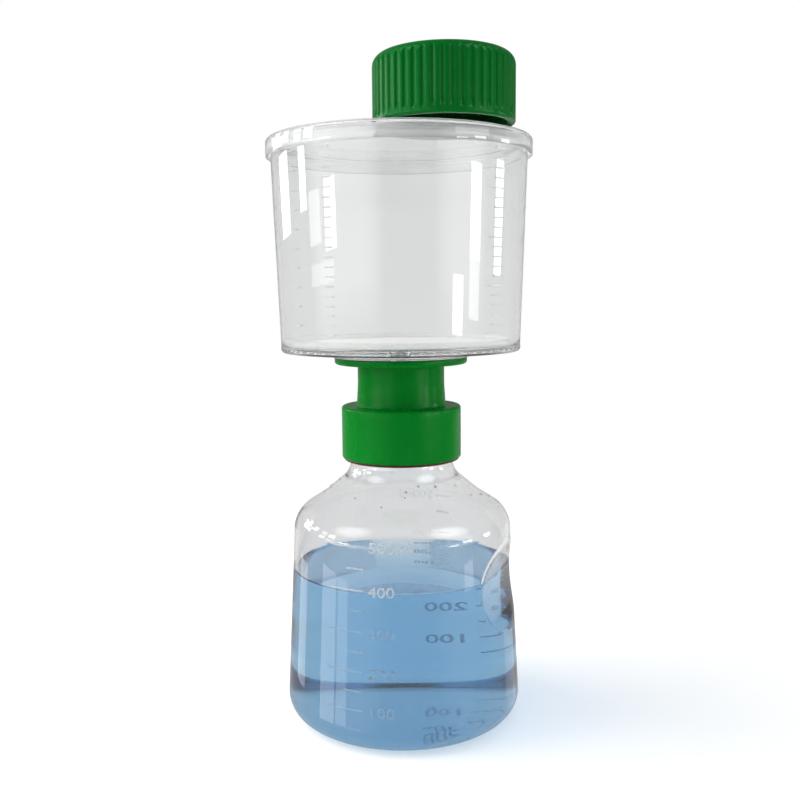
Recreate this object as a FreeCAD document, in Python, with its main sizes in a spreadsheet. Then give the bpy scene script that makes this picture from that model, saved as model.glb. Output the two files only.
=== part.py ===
import FreeCAD, Part
import math
import os
import re

import Sketcher

# A 500 ml vacuum filtration unit for the lab bench.
#
# From the table up: a clear receiver bottle with a 45 mm neck, a green adapter that screws
# onto it and carries the hose port, and a clear funnel with its drain plate and membrane on
# top of the adapter. A loose lid covers the funnel, and the bottle's own screw cap lies on
# the lid while the unit is in use.
#
# Frame: the vertical axis of the bottle is Z, the table is the plane z = 0, the front of the
# unit looks along -Y and the hose port points back along +Y. Sizes are in millimetres.

SIZES = {
    # receiver bottle, outside
    "foot_radius": (48.9, "wall of the bottle carried straight down to the table"),
    "wall_lean": (4.5, "how far the wall leans in on its way up to the shoulder"),
    "body_height": (86.0, "height of the corner between wall and shoulder"),
    "shoulder_rise": (17.1, "height of the shoulder"),
    "neck_radius": (20.9, "outside of the neck at the root of its thread"),
    "neck_length": (20.9, "neck above the shoulder, up to the sealing rim"),
    "foot_rounding": (9.1, "rounding between wall and base"),
    "shoulder_rounding": (6.0, "rounding between wall and shoulder"),
    "neck_rounding": (1.5, "hollow rounding between shoulder and neck"),
    "stand_ring": (3.8, "width of the flat ring that the bottle stands on"),
    "push_up": (1.8, "rise of the base inside that ring"),
    "push_up_run": (4.0, "width of the sloping step up to the raised base"),
    # receiver bottle, walls
    "bottle_wall": (1.3, "wall of the body and the shoulder"),
    "base_wall": (1.5, "wall of the base"),
    "neck_wall": (2.2, "wall of the neck"),
    # thumb grip: a shallow scoop in the wall, struck with a level cylinder
    "grip_radius": (62.0, "radius of the scoop"),
    "grip_depth": (3.5, "depth of the scoop below the wall"),
    "grip_height": (61.5, "height of the middle of the scoop"),
    "grip_bearing": (66.0, "bearing of the scoop, in degrees from the front towards +X"),
    # liquid
    "liquid_level": (62.5, "height of the filtered liquid"),
    "liquid_gap": (0.05, "clearance between liquid and bottle"),
    # thread between the neck and what screws onto it
    "thread_depth": (1.6, "height of the neck's thread above its root"),
    "collar_thread_gap": (0.3, "clearance between the thread's crests and the collar"),
    "cap_thread_gap": (0.4, "clearance between the thread's crests and the cap"),
    # seals
    "gasket_thickness": (2.0, "flat gasket on the rim of the bottle"),
    "seal_gap": (0.3, "clearance round a seal that stays loose"),
    "mouth_seal_height": (1.6, "seal ring in the mouth of the collar"),
    "mouth_seal_drop": (0.4, "how far that ring shows below the collar"),
    # adapter
    "collar_wall": (1.7, "wall of the threaded collar"),
    "collar_height": (21.3, "height of the collar"),
    "collar_roof": (3.4, "thickness of the collar's top"),
    "collar_edge": (0.8, "rounding of the collar's edges"),
    "stalk_bore": (16.0, "radius of the stalk's bore"),
    "stalk_wall": (1.9, "wall of the stalk under the disc"),
    "stalk_flare": (0.2, "how much wider the stalk is where it leaves the collar"),
    "stalk_height": (17.1, "height of the stalk"),
    "disc_radius": (27.1, "disc that carries the funnel"),
    "disc_thickness": (2.7, "thickness of the disc"),
    "disc_edge": (0.9, "bevel under the rim of the disc"),
    # hose port on the back of the stalk
    "port_reach": (33.0, "distance from the unit's axis to the end of the port"),
    "port_wall": (1.6, "wall of the port round its socket"),
    "socket_radius": (3.6, "bore of the port's socket"),
    "socket_depth": (11.0, "depth of the socket"),
    "air_hole_radius": (1.9, "hole from the socket into the stalk"),
    "plug_thickness": (1.8, "air filter plug at the bottom of the socket"),
    "push_gap": (0.05, "clearance of a pushed fit"),
    # hose connector
    "flange_step": (2.0, "how far the stop flange stands out past the socket's bore"),
    "flange_thickness": (1.6, "thickness of the flange"),
    "stem_radius": (3.1, "stem of the hose barb"),
    "stem_length": (4.4, "plain stem between flange and barbs"),
    "barb_step": (1.2, "height of each barb above the stem"),
    "barb_pitch": (5.5, "length of each barb"),
    "barb_count": (4, "number of barbs"),
    "airway_radius": (1.9, "bore of the connector"),
    # drain plate under the membrane
    "boss_step": (0.7, "how far the boss stands out past the disc"),
    "boss_height": (2.6, "height of the boss"),
    "boss_cove": (2.0, "hollow rounding between boss and plate"),
    "plate_step": (0.1, "how far the plate stays inside the funnel's foot"),
    "plate_thickness": (2.4, "thickness of the plate"),
    "plate_edge": (1.0, "rounding of the plate's lower edge"),
    "rib_height": (0.6, "ribs that hold the membrane off the plate"),
    "rib_width": (0.9, "width of each rib"),
    "rib_start": (8.0, "distance from the axis to the inner end of the ribs"),
    "rib_count": (24, "number of ribs"),
    "spigot_length": (6.0, "plug of the plate inside the stalk"),
    "spigot_gap": (0.1, "clearance between plug and stalk"),
    "spout_bore": (2.75, "radius of the drip spout's bore"),
    "spout_wall": (1.75, "wall of the drip spout"),
    "spout_clear": (1.5, "height of the spout's tip above the gasket"),
    # round seal in a groove of the plug
    "ring_thickness": (1.4, "section of the round seal"),
    # membrane and the ring that holds it down
    "membrane_thickness": (0.25, "filter membrane"),
    "membrane_margin": (0.3, "gap between membrane and funnel wall"),
    "hold_ring_width": (2.0, "width of the hold-down ring"),
    "hold_ring_height": (2.0, "height of the hold-down ring"),
    # funnel
    "funnel_radius": (48.5, "outside of the funnel's foot, on the plate"),
    "funnel_flare": (2.8, "how much wider the funnel is at its rim"),
    "funnel_height": (79.1, "height of the funnel"),
    "funnel_wall": (1.6, "wall of the funnel"),
    # lid
    "lid_gap": (0.5, "clearance between the lid's skirt and the funnel"),
    "lid_thickness": (1.6, "top of the lid"),
    "lid_skirt": (5.2, "depth of the skirt below the top"),
    "lid_wall": (1.2, "wall of the skirt and of the locating ring"),
    "lid_ring_drop": (2.1, "locating ring inside the funnel's mouth"),
    "lid_ring_gap": (0.6, "clearance between that ring and the funnel"),
    "lid_edge": (1.5, "rounding of the lid's top edge"),
    # screw cap
    "cap_height": (24.5, "height of the cap"),
    "cap_wall": (3.0, "wall of the cap, with its ribs"),
    "cap_roof": (2.0, "top wall of the cap"),
    "cap_rounding": (4.3, "rounding of the cap's top edge"),
    "cap_band": (2.3, "plain band round the cap's mouth"),
    "flute_count": (48, "flutes of the finger grip"),
    "flute_depth": (0.8, "depth of each flute"),
    "flute_radius": (1.3, "radius of each flute"),
    "plug_ring_wall": (1.1, "wall of the sealing ring inside the cap"),
    "plug_ring_drop": (3.5, "depth of that ring"),
    "plug_ring_gap": (0.3, "clearance between that ring and the neck's bore"),
    "cap_across": (16.3, "where the cap lies on the lid, along X"),
    "cap_forward": (35.2, "where the cap lies on the lid, towards the front"),
}

# Radii that follow from the sizes.
SHOULDER_RADIUS = "(foot_radius - wall_lean)"
STAND_RADIUS = "(foot_radius - foot_rounding - stand_ring)"
NECK_BORE = "(neck_radius - neck_wall)"
COLLAR_BORE = "(neck_radius + thread_depth + collar_thread_gap)"
COLLAR_RADIUS = f"({COLLAR_BORE} + collar_wall)"
STALK_RADIUS = "(stalk_bore + stalk_wall)"
FUNNEL_BORE = "(funnel_radius - funnel_wall)"
MOUTH_RADIUS = "(funnel_radius + funnel_flare)"
MEMBRANE_RADIUS = f"({FUNNEL_BORE} - membrane_margin)"
LID_BORE = f"({MOUTH_RADIUS} + lid_gap)"
CAP_BORE = "(neck_radius + thread_depth + cap_thread_gap)"

# Heights of the seats, each from the piece below it.
NECK_FOOT = "(body_height + shoulder_rise)"
RIM = f"({NECK_FOOT} + neck_length)"
COLLAR_TOP = f"({RIM} + gasket_thickness + collar_roof)"
COLLAR_FOOT = f"({COLLAR_TOP} - collar_height)"
PORT_LEVEL = "(collar_height + stalk_height / 2)"
DISC_TOP = f"({COLLAR_TOP} + stalk_height + disc_thickness)"
SPOUT_LENGTH = "(disc_thickness + stalk_height + collar_roof - spout_clear)"
PLATE_TOP = f"({DISC_TOP} + boss_height + plate_thickness + rib_height)"
MEMBRANE_TOP = f"({PLATE_TOP} + membrane_thickness)"
FUNNEL_TOP = f"({PLATE_TOP} + funnel_height)"
LID_TOP = f"({FUNNEL_TOP} + lid_thickness)"
SOCKET_FLOOR = "(port_reach - socket_depth)"

# The shoulder's slope, and how far its inner face lies below the outer one.
SHOULDER_SLOPE = f"(shoulder_rise / ({SHOULDER_RADIUS} - neck_radius))"
SHOULDER_DROP = f"(bottle_wall * sqrt(1 + {SHOULDER_SLOPE} ^ 2))"
# The wall leans in as it rises; this is its radius at the middle of the grip.
GRIP_WALL = "(foot_radius - wall_lean * grip_height / body_height)"

doc = FreeCAD.newDocument("VacuumFiltrationUnit")
sheet = doc.addObject("Spreadsheet::Sheet", "Sizes")
for row, (alias, (value, note)) in enumerate(SIZES.items(), start=1):
    sheet.set(f"A{row}", note)
    sheet.set(f"B{row}", str(value))
    sheet.setAlias(f"B{row}", alias)
doc.recompute()


def sized(expression):
    """Turns the sizes named in an expression into references to the sheet."""
    return re.sub(
        r"[a-z_]{3,}", lambda m: f"Sizes.{m[0]}" if m[0] in SIZES else m[0], expression
    )


def number(expression):
    """Works an expression out, in millimetres."""
    worth = sheet.evalExpression(sized(expression))
    return float(getattr(worth, "Value", worth))


def bind(thing, name, expression):
    thing.setExpression(name, sized(expression))


def plane(body, role):
    return next(item for item in body.Origin.OriginFeatures if item.Role == role)


def outline(body, name, corners):
    """Draws a closed outline of straight lines on the body's XZ plane.

    Each corner is (distance from the axis, height), as two expressions of the sheet.
    """
    sketch = body.newObject("Sketcher::SketchObject", name)
    sketch.AttachmentSupport = [(plane(body, "XZ_Plane"), "")]
    sketch.MapMode = "FlatFace"
    places = [FreeCAD.Vector(number(out), number(up), 0) for out, up in corners]
    count = len(places)
    for i in range(count):
        sketch.addGeometry(Part.LineSegment(places[i], places[(i + 1) % count]), False)
    for i in range(count):
        sketch.addConstraint(Sketcher.Constraint("Coincident", i, 2, (i + 1) % count, 1))
    for i, (out, up) in enumerate(corners):
        if out == "0":
            sketch.addConstraint(Sketcher.Constraint("PointOnObject", i, 1, -2))
        else:
            rule = Sketcher.Constraint("DistanceX", -1, 1, i, 1, places[i].x)
            bind(sketch, f"Constraints[{sketch.addConstraint(rule)}]", out)
        if up == "0":
            sketch.addConstraint(Sketcher.Constraint("PointOnObject", i, 1, -1))
        else:
            rule = Sketcher.Constraint("DistanceY", -1, 1, i, 1, places[i].y)
            bind(sketch, f"Constraints[{sketch.addConstraint(rule)}]", up)
    return sketch


def turned(name, corners):
    """A body turned about the Z axis from one outline."""
    body = doc.addObject("PartDesign::Body", name)
    sketch = outline(body, f"{name}_outline", corners)
    turn = body.newObject("PartDesign::Revolution", f"{name}_turn")
    turn.Profile = sketch
    turn.ReferenceAxis = (sketch, ["V_Axis"])
    turn.Angle = 360
    doc.recompute()
    return body


def disc_outline(radius, height):
    """Outline of a flat disc that stands on its own z = 0."""
    return [("0", "0"), (radius, "0"), (radius, height), ("0", height)]


def ring_outline(inner, outer, height):
    """Outline of a flat ring that stands on its own z = 0."""
    return [(inner, "0"), (outer, "0"), (outer, height), (inner, height)]


def rings(body, *places):
    """Names of the round edges of a body at the given (radius, height) expressions."""
    wanted = [(number(out), number(up)) for out, up in places]
    names = []
    for i, edge in enumerate(body.Tip.Shape.Edges, start=1):
        if not isinstance(edge.Curve, Part.Circle):
            continue
        found = (edge.Curve.Radius, edge.Curve.Center.z)
        if any(math.dist(found, place) < 0.001 for place in wanted):
            names.append(f"Edge{i}")
    return names


def rounded(body, radius, *places, kind="Fillet"):
    """Rounds (or chamfers) the round edges of a body at the given places."""
    solid = body.Tip
    names = rings(body, *places)
    dressing = body.newObject(f"PartDesign::{kind}", f"{body.Name}_{kind}")
    dressing.Base = (solid, names)
    bind(dressing, "Radius" if kind == "Fillet" else "Size", radius)
    body.Tip = dressing
    doc.recompute()
    return body


def patterned(body, feature, count):
    """Repeats a feature of a body round the Z axis."""
    pattern = body.newObject("PartDesign::PolarPattern", f"{feature.Name}s")
    pattern.Originals = [feature]
    pattern.Axis = (plane(body, "Z_Axis"), [""])
    pattern.Angle = 360
    bind(pattern, "Occurrences", count)
    body.Tip = pattern
    doc.recompute()
    return body


def rod(name, radius, start, end):
    """A cylinder along +Y, from one distance behind the axis to another."""
    cylinder = doc.addObject("Part::Cylinder", name)
    cylinder.Placement.Rotation = FreeCAD.Rotation(FreeCAD.Vector(1, 0, 0), -90)
    bind(cylinder, "Radius", radius)
    bind(cylinder, "Height", f"({end}) - ({start})")
    bind(cylinder, "Placement.Base.y", start)
    return cylinder


def combined(kind, name, base, tool):
    """Base and tool joined (Fuse), or tool taken from base (Cut), or their shared part."""
    result = doc.addObject(f"Part::{kind}", name)
    result.Base = base
    result.Tool = tool
    doc.recompute()
    return result


def raised(thing, expression):
    """Sets a piece at its height on the unit."""
    bind(thing, "Placement.Base.z", expression)
    return thing


PIECES = []


def finished(thing, label):
    """Names a finished piece and adds it to the list to be written."""
    thing.Label = label
    PIECES.append(thing)
    return thing


# ---- receiver bottle and the liquid in it -----------------------------------------------


def grip_scoop(name, growth):
    """The level cylinder that strikes the thumb grip, grown by a wall or a clearance."""
    scoop = doc.addObject("Part::Cylinder", name)
    bind(scoop, "Radius", f"grip_radius + {growth}")
    bind(scoop, "Height", "2 * foot_radius")
    bearing = math.radians(number("grip_bearing"))
    # The cylinder lies level, square to the bearing, with its middle on the bearing.
    across = FreeCAD.Vector(math.cos(bearing), math.sin(bearing), 0)
    scoop.Placement.Rotation = FreeCAD.Rotation(FreeCAD.Vector(0, 0, 1), across)
    out = f"({GRIP_WALL} - grip_depth + grip_radius)"
    cosine, sine = "cos(grip_bearing * 1 deg)", "sin(grip_bearing * 1 deg)"
    bind(scoop, "Placement.Base.x", f"{out} * {sine} - foot_radius * {cosine}")
    bind(scoop, "Placement.Base.y", f"-{out} * {cosine} - foot_radius * {sine}")
    bind(scoop, "Placement.Base.z", "grip_height")
    return scoop


def bottle_hollow(name, gap):
    """The room inside the bottle, from the base to above the rim, less a clearance."""
    wall = f"foot_radius - bottle_wall - {gap}"
    corner = (
        f"{SHOULDER_RADIUS} - bottle_wall - {gap}",
        f"body_height + bottle_wall * {SHOULDER_SLOPE} - {SHOULDER_DROP}",
    )
    bore = f"{NECK_BORE} - {gap}"
    floor = f"base_wall + {gap}"
    hollow = turned(
        name,
        [
            ("0", f"{floor} + push_up"),
            (f"{STAND_RADIUS} - push_up_run", f"{floor} + push_up"),
            (STAND_RADIUS, floor),
            (wall, floor),
            corner,
            (bore, f"{NECK_FOOT} + neck_wall * {SHOULDER_SLOPE} - {SHOULDER_DROP}"),
            (bore, f"{RIM} + 1"),
            ("0", f"{RIM} + 1"),
        ],
    )
    rounded(hollow, "foot_rounding - bottle_wall", (wall, floor))
    return rounded(hollow, "shoulder_rounding - bottle_wall", corner)


def receiver_bottle():
    outside = turned(
        "bottle_outside",
        [
            ("0", "push_up"),
            (f"{STAND_RADIUS} - push_up_run", "push_up"),
            (STAND_RADIUS, "0"),
            ("foot_radius", "0"),
            (SHOULDER_RADIUS, "body_height"),
            ("neck_radius", NECK_FOOT),
            ("neck_radius", RIM),
            ("0", RIM),
        ],
    )
    rounded(outside, "foot_rounding", ("foot_radius", "0"))
    rounded(outside, "shoulder_rounding", (SHOULDER_RADIUS, "body_height"))
    rounded(outside, "neck_rounding", ("neck_radius", NECK_FOOT))
    gripped = combined("Cut", "bottle_gripped", outside, grip_scoop("scoop_outside", "0"))
    hollow = bottle_hollow("bottle_hollow", "0")
    scoop = grip_scoop("scoop_inside", "bottle_wall")
    room = combined("Cut", "hollow_gripped", hollow, scoop)
    return finished(combined("Cut", "bottle", gripped, room), "receiver_bottle")


def filtrate():
    hollow = bottle_hollow("liquid_hollow", "liquid_gap")
    scoop = grip_scoop("scoop_liquid", "bottle_wall + liquid_gap")
    room = combined("Cut", "liquid_room", hollow, scoop)
    depth = turned("liquid_depth", disc_outline("foot_radius", "liquid_level"))
    return finished(combined("Common", "liquid", room, depth), "filtrate")


# ---- seals between bottle and adapter ---------------------------------------------------


def neck_gasket():
    outer = f"{COLLAR_BORE} - seal_gap"
    gasket = turned("gasket", ring_outline(NECK_BORE, outer, "gasket_thickness"))
    return finished(raised(gasket, RIM), "neck_gasket")


def mouth_seal():
    inner = "neck_radius + seal_gap"
    seal = turned("mouth_ring", ring_outline(inner, COLLAR_BORE, "mouth_seal_height"))
    return finished(raised(seal, f"{COLLAR_FOOT} - mouth_seal_drop"), "collar_mouth_seal")


# ---- adapter, with its hose port --------------------------------------------------------


def adapter():
    roof = "collar_height - collar_roof"
    top = "collar_height + stalk_height"
    turning = turned(
        "adapter_turning",
        [
            (COLLAR_BORE, "0"),
            (COLLAR_RADIUS, "0"),
            (COLLAR_RADIUS, "collar_height"),
            (f"{STALK_RADIUS} + stalk_flare", "collar_height"),
            (STALK_RADIUS, top),
            ("disc_radius", top),
            ("disc_radius", f"{top} + disc_thickness"),
            ("stalk_bore", f"{top} + disc_thickness"),
            ("stalk_bore", roof),
            (COLLAR_BORE, roof),
        ],
    )
    rounded(turning, "collar_edge", (COLLAR_RADIUS, "0"), (COLLAR_RADIUS, "collar_height"))
    rounded(turning, "disc_edge", ("disc_radius", top), kind="Chamfer")
    # The port starts in the middle of the stalk's wall, which leaves the stalk's bore clean.
    wall_middle = "stalk_bore + stalk_wall / 2"
    port = rod("port_outside", "socket_radius + port_wall", wall_middle, "port_reach")
    joined = combined("Fuse", "adapter_with_port", turning, raised(port, PORT_LEVEL))
    socket = rod("port_socket", "socket_radius", SOCKET_FLOOR, "port_reach + 1")
    hollowed = combined("Cut", "adapter_with_socket", joined, raised(socket, PORT_LEVEL))
    hole = rod("air_hole", "air_hole_radius", "0", f"{SOCKET_FLOOR} + 1")
    body = combined("Cut", "adapter_body", hollowed, raised(hole, PORT_LEVEL))
    return finished(raised(body, COLLAR_FOOT), "adapter")


def air_filter_plug():
    end = f"{SOCKET_FLOOR} + plug_thickness"
    plug = rod("air_plug", "socket_radius - push_gap", SOCKET_FLOOR, end)
    return finished(raised(plug, f"{COLLAR_FOOT} + {PORT_LEVEL}"), "air_filter_plug")


def hose_connector():
    """A stepped tube with a stop flange and a row of barbs, turned and then laid back."""
    plug = "socket_depth - plug_thickness"
    shoulder = f"{plug} + flange_thickness"
    barbs = f"{shoulder} + stem_length"
    corners = [
        ("airway_radius", "0"),
        ("socket_radius - push_gap", "0"),
        ("socket_radius - push_gap", plug),
        ("socket_radius + flange_step", plug),
        ("socket_radius + flange_step", shoulder),
        ("stem_radius", shoulder),
    ]
    for i in range(int(number("barb_count"))):
        corners += [
            ("stem_radius", f"{barbs} + {i} * barb_pitch"),
            ("stem_radius + barb_step", f"{barbs} + {i} * barb_pitch"),
            ("stem_radius", f"{barbs} + {i + 0.9} * barb_pitch"),
        ]
    tip = f"{barbs} + barb_count * barb_pitch"
    corners += [("stem_radius", tip), ("airway_radius", tip)]
    connector = turned("connector", corners)
    connector.Placement.Rotation = FreeCAD.Rotation(FreeCAD.Vector(1, 0, 0), -90)
    bind(connector, "Placement.Base.y", f"{SOCKET_FLOOR} + plug_thickness")
    return finished(raised(connector, f"{COLLAR_FOOT} + {PORT_LEVEL}"), "hose_connector")


# ---- drain plate, its seal, membrane and hold-down ring ---------------------------------


def drain_plate():
    plate = f"{SPOUT_LENGTH} + boss_height"
    floor = f"{plate} + plate_thickness"
    spigot = f"{SPOUT_LENGTH} - spigot_length"
    spigot_radius = "stalk_bore - spigot_gap"
    groove_radius = "stalk_bore - ring_thickness - 2 * push_gap"
    groove_foot = f"{spigot} + spigot_length / 2 - ring_thickness / 2 - push_gap"
    groove_top = f"{groove_foot} + ring_thickness + 2 * push_gap"
    body = turned(
        "drain",
        [
            ("spout_bore", "0"),
            ("spout_bore + spout_wall", "0"),
            ("spout_bore + spout_wall", spigot),
            (spigot_radius, spigot),
            (spigot_radius, groove_foot),
            (groove_radius, groove_foot),
            (groove_radius, groove_top),
            (spigot_radius, groove_top),
            (spigot_radius, SPOUT_LENGTH),
            ("disc_radius + boss_step", SPOUT_LENGTH),
            ("disc_radius + boss_step", plate),
            ("funnel_radius - plate_step", plate),
            ("funnel_radius - plate_step", f"{floor} + rib_height"),
            (FUNNEL_BORE, f"{floor} + rib_height"),
            (FUNNEL_BORE, floor),
            ("spout_bore", floor),
        ],
    )
    rounded(body, "boss_cove", ("disc_radius + boss_step", plate))
    rounded(body, "plate_edge", ("funnel_radius - plate_step", plate))
    # Each rib starts inside the plate, so that it joins it over its whole length.
    rib = body.newObject("PartDesign::AdditiveBox", "drain_rib")
    bind(rib, "Length", f"{MEMBRANE_RADIUS} - hold_ring_width - rib_start")
    bind(rib, "Width", "rib_width")
    bind(rib, "Height", "2 * rib_height")
    bind(rib, "Placement.Base.x", "rib_start")
    bind(rib, "Placement.Base.y", "-rib_width / 2")
    bind(rib, "Placement.Base.z", f"{floor} - rib_height")
    doc.recompute()
    patterned(body, rib, "rib_count")
    return finished(raised(body, f"{DISC_TOP} - {SPOUT_LENGTH}"), "drain_plate")


def spigot_seal():
    seal = doc.addObject("Part::Torus", "round_seal")
    bind(seal, "Radius1", "stalk_bore - push_gap - ring_thickness / 2")
    bind(seal, "Radius2", "ring_thickness / 2")
    doc.recompute()
    return finished(raised(seal, f"{DISC_TOP} - spigot_length / 2"), "spigot_seal")


def membrane():
    film = turned("film", disc_outline(MEMBRANE_RADIUS, "membrane_thickness"))
    return finished(raised(film, PLATE_TOP), "membrane")


def hold_down_ring():
    inner = f"{MEMBRANE_RADIUS} - hold_ring_width"
    held = turned("hold_down", ring_outline(inner, MEMBRANE_RADIUS, "hold_ring_height"))
    return finished(raised(held, MEMBRANE_TOP), "hold_down_ring")


# ---- funnel and lid ---------------------------------------------------------------------


def funnel():
    body = turned(
        "funnel_cup",
        [
            (FUNNEL_BORE, "0"),
            ("funnel_radius", "0"),
            (MOUTH_RADIUS, "funnel_height"),
            (f"{MOUTH_RADIUS} - funnel_wall", "funnel_height"),
        ],
    )
    return finished(raised(body, PLATE_TOP), "funnel")


def funnel_lid():
    edge = f"{LID_BORE} + lid_wall"
    ring_outer = f"{MOUTH_RADIUS} - funnel_wall - lid_ring_gap"
    body = turned(
        "lid",
        [
            ("0", "lid_skirt"),
            (f"{ring_outer} - lid_wall", "lid_skirt"),
            (f"{ring_outer} - lid_wall", "lid_skirt - lid_ring_drop"),
            (ring_outer, "lid_skirt - lid_ring_drop"),
            (ring_outer, "lid_skirt"),
            (LID_BORE, "lid_skirt"),
            (LID_BORE, "0"),
            (edge, "0"),
            (edge, "lid_skirt + lid_thickness"),
            ("0", "lid_skirt + lid_thickness"),
        ],
    )
    rounded(body, "lid_edge", (edge, "lid_skirt + lid_thickness"))
    return finished(raised(body, f"{FUNNEL_TOP} - lid_skirt"), "funnel_lid")


# ---- screw cap --------------------------------------------------------------------------


def screw_cap():
    """The cap, standing on its mouth, with its flutes cut into the outside."""
    roof = "cap_height - cap_roof"
    cap_radius = f"{CAP_BORE} + cap_wall"
    plug = f"{NECK_BORE} - plug_ring_gap"
    body = turned(
        "cap",
        [
            ("0", roof),
            (f"{plug} - plug_ring_wall", roof),
            (f"{plug} - plug_ring_wall", f"{roof} - plug_ring_drop"),
            (plug, f"{roof} - plug_ring_drop"),
            (plug, roof),
            (CAP_BORE, roof),
            (CAP_BORE, "0"),
            (cap_radius, "0"),
            (cap_radius, "cap_height"),
            ("0", "cap_height"),
        ],
    )
    rounded(body, "cap_rounding", (cap_radius, "cap_height"))
    flute = body.newObject("PartDesign::SubtractiveCylinder", "cap_flute")
    bind(flute, "Radius", "flute_radius")
    bind(flute, "Height", "cap_height - cap_band - cap_rounding")
    bind(flute, "Placement.Base.x", f"{cap_radius} - flute_depth + flute_radius")
    bind(flute, "Placement.Base.z", "cap_band")
    doc.recompute()
    patterned(body, flute, "flute_count")
    bind(body, "Placement.Base.x", "cap_across")
    bind(body, "Placement.Base.y", "-cap_forward")
    return finished(raised(body, LID_TOP), "screw_cap")


receiver_bottle()
filtrate()
neck_gasket()
mouth_seal()
adapter()
air_filter_plug()
hose_connector()
drain_plate()
spigot_seal()
membrane()
hold_down_ring()
funnel()
funnel_lid()
screw_cap()

doc.recompute()
for thing in doc.Objects:
    if "Invalid" in thing.State or "Error" in thing.State:
        raise RuntimeError(f"{thing.Label} failed: {thing.State}")
for piece in PIECES:
    if piece.Shape.isNull() or not piece.Shape.isValid():
        raise RuntimeError(f"{piece.Label} has no valid shape")

os.makedirs("parts", exist_ok=True)
for piece in PIECES:
    piece.Shape.exportStep(f"parts/{piece.Label}.step")
    box = piece.Shape.BoundBox
    print(
        f"{piece.Label:20s} solids {len(piece.Shape.Solids)}  volume {piece.Shape.Volume:10.1f}"
        f"  z {box.ZMin:7.2f} to {box.ZMax:7.2f}  y {box.YMin:7.2f} to {box.YMax:7.2f}"
    )
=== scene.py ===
# %% [markdown]
# # A vacuum filtration unit, from its frame to a picture
#
# The unit stands on a bench: a clear bottle with blue liquid, a green adapter screwed onto
# its neck, and a clear funnel with a loose lid. The bottle's own cap lies on the lid.
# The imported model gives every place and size, so this file only adds shape and finish.

# %% Load the frame
import math
import random

import bmesh
import bpy
from mathutils import Matrix, Vector


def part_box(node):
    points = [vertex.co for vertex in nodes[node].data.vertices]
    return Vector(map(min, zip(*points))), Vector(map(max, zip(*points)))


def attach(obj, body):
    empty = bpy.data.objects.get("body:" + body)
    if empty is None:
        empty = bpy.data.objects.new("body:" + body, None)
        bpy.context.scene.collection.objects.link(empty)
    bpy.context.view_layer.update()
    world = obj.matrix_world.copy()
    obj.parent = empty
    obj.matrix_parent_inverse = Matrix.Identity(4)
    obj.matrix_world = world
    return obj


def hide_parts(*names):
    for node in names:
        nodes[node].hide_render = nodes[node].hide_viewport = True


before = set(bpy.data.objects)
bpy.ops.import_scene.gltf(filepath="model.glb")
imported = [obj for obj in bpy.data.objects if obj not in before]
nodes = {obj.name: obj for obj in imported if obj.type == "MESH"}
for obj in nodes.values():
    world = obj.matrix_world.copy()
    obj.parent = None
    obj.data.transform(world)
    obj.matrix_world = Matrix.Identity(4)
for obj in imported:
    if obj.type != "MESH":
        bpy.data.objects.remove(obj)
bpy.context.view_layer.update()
MM = 0.001

# %% [markdown]
# ## Camera
#
# The camera comes first, because every later step is judged through it. It stands a little
# above the middle of the unit and close by, so the bottle's base is seen from above while
# the funnel is seen almost level. That is how a small lens on a bench sees a tall thing.

# %% Place the camera
CAMERA_PLACE = (-0.0005, -0.3871, 0.1754)
CAMERA_DOWN = math.radians(6.5)
CAMERA_LEAN = -0.0091
SENSOR_WIDTH = 36.0
LENS_LENGTH = 42.525
LIGHT_BOUNCES = 32

lens = bpy.data.cameras.new("bench_camera")
lens.sensor_width = SENSOR_WIDTH
lens.lens = LENS_LENGTH
lens.clip_start = 0.01
camera = bpy.data.objects.new("bench_camera", lens)
bpy.context.scene.collection.objects.link(camera)
turn = Matrix.Rotation(math.pi / 2 - CAMERA_DOWN, 4, "X") @ Matrix.Rotation(CAMERA_LEAN, 4, "Z")
camera.matrix_world = Matrix.Translation(CAMERA_PLACE) @ turn
bpy.context.scene.camera = camera
bpy.context.scene.view_settings.view_transform = "Standard"
path_limits = bpy.context.scene.cycles
path_limits.max_bounces = LIGHT_BOUNCES
path_limits.transmission_bounces = LIGHT_BOUNCES
path_limits.glossy_bounces = LIGHT_BOUNCES
print("camera stands at", CAMERA_PLACE)

# %% [markdown]
# ## A way to write finishes
#
# A material is a small sum over the surface: a colour plus a little noise, a mask times a
# roughness. Wiring each sum by hand hides it, so one class lets a socket stand in a sum, and
# one method makes every other kind of node.


# %% A socket that can stand in a sum
class Wire:
    """An output socket. Each operator adds the Math node that does it."""

    def __init__(self, recipe, socket):
        self.recipe = recipe
        self.socket = socket

    def math(self, operation, *terms):
        settings = {"operation": operation}
        return self.recipe.node("ShaderNodeMath", settings, dict(enumerate(terms)))

    def out(self, name):
        """Another output of the same node."""
        return Wire(self.recipe, self.socket.node.outputs[name])

    def __add__(self, other):
        return self.math("ADD", self, other)

    def __sub__(self, other):
        return self.math("SUBTRACT", self, other)

    def __rsub__(self, other):
        return self.math("SUBTRACT", other, self)

    def __mul__(self, other):
        return self.math("MULTIPLY", self, other)

    __radd__ = __add__
    __rmul__ = __mul__


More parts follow.
